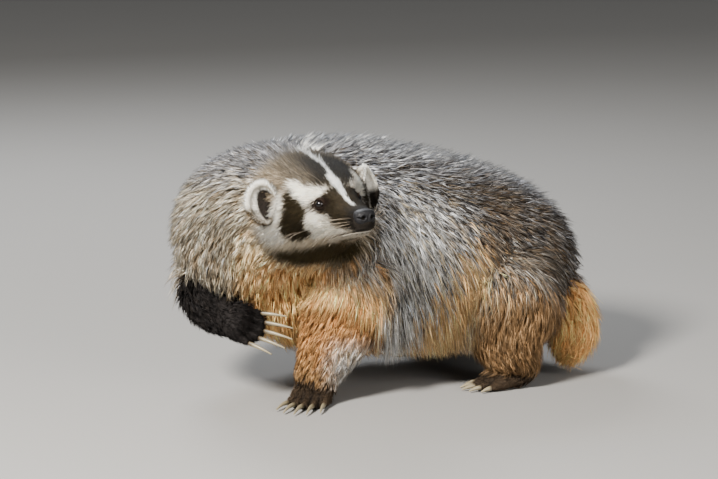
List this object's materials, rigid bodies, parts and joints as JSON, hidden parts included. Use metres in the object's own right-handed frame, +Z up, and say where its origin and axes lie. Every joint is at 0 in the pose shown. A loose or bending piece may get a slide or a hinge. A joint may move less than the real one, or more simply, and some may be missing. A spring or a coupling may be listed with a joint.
{
  "type": "american badger, life-size still model",
  "caption": "Low, broad american badger standing with one forefoot lifted and its head turned left, with a shaggy coat, cupped ears and long digging claws.",
  "frame": {"origin": "on the floor, under the middle of the model's bounding box", "axes": "+Z up; the rump is at +X, the chest faces -X and -Y, and the head looks towards -Y, which is the side that the picture shows"},
  "size_m": [0.4882, 0.4864, 0.2874],
  "materials": {
    "grizzled_coat": "long grizzled fur, grey with white tips",
    "face_coat": "short fur with dark and white marks",
    "ear_coat": "short pale fur with a dark inside",
    "tawny_coat": "tawny fur",
    "dark_coat": "short near-black fur",
    "nose_skin": "damp pebbled skin",
    "eye": "wet gloss",
    "claw_horn": "semi-gloss horn"
  },
  "bodies": {
    "root": {"torso": "grizzled_coat", "neck": "grizzled_coat", "head": "face_coat", "nose": "nose_skin", "ear_left": "ear_coat", "ear_right": "ear_coat", "eye_left": "eye", "eye_right": "eye", "tail": "tawny_coat", "foreleg_left": "tawny_coat", "foreleg_right": "dark_coat", "hindleg_left": "tawny_coat", "hindleg_right": "tawny_coat", "fore_left_claw_1": "claw_horn", "fore_left_claw_2": "claw_horn", "fore_left_claw_3": "claw_horn", "fore_left_claw_4": "claw_horn", "fore_left_claw_5": "claw_horn", "fore_right_claw_1": "claw_horn", "fore_right_claw_2": "claw_horn", "fore_right_claw_3": "claw_horn", "fore_right_claw_4": "claw_horn", "fore_right_claw_5": "claw_horn", "hind_left_claw_1": "claw_horn", "hind_left_claw_2": "claw_horn", "hind_left_claw_3": "claw_horn", "hind_left_claw_4": "claw_horn", "hind_left_claw_5": "claw_horn", "hind_right_claw_1": "claw_horn", "hind_right_claw_2": "claw_horn", "hind_right_claw_3": "claw_horn", "hind_right_claw_4": "claw_horn", "hind_right_claw_5": "claw_horn"}
  },
  "joints": []
}
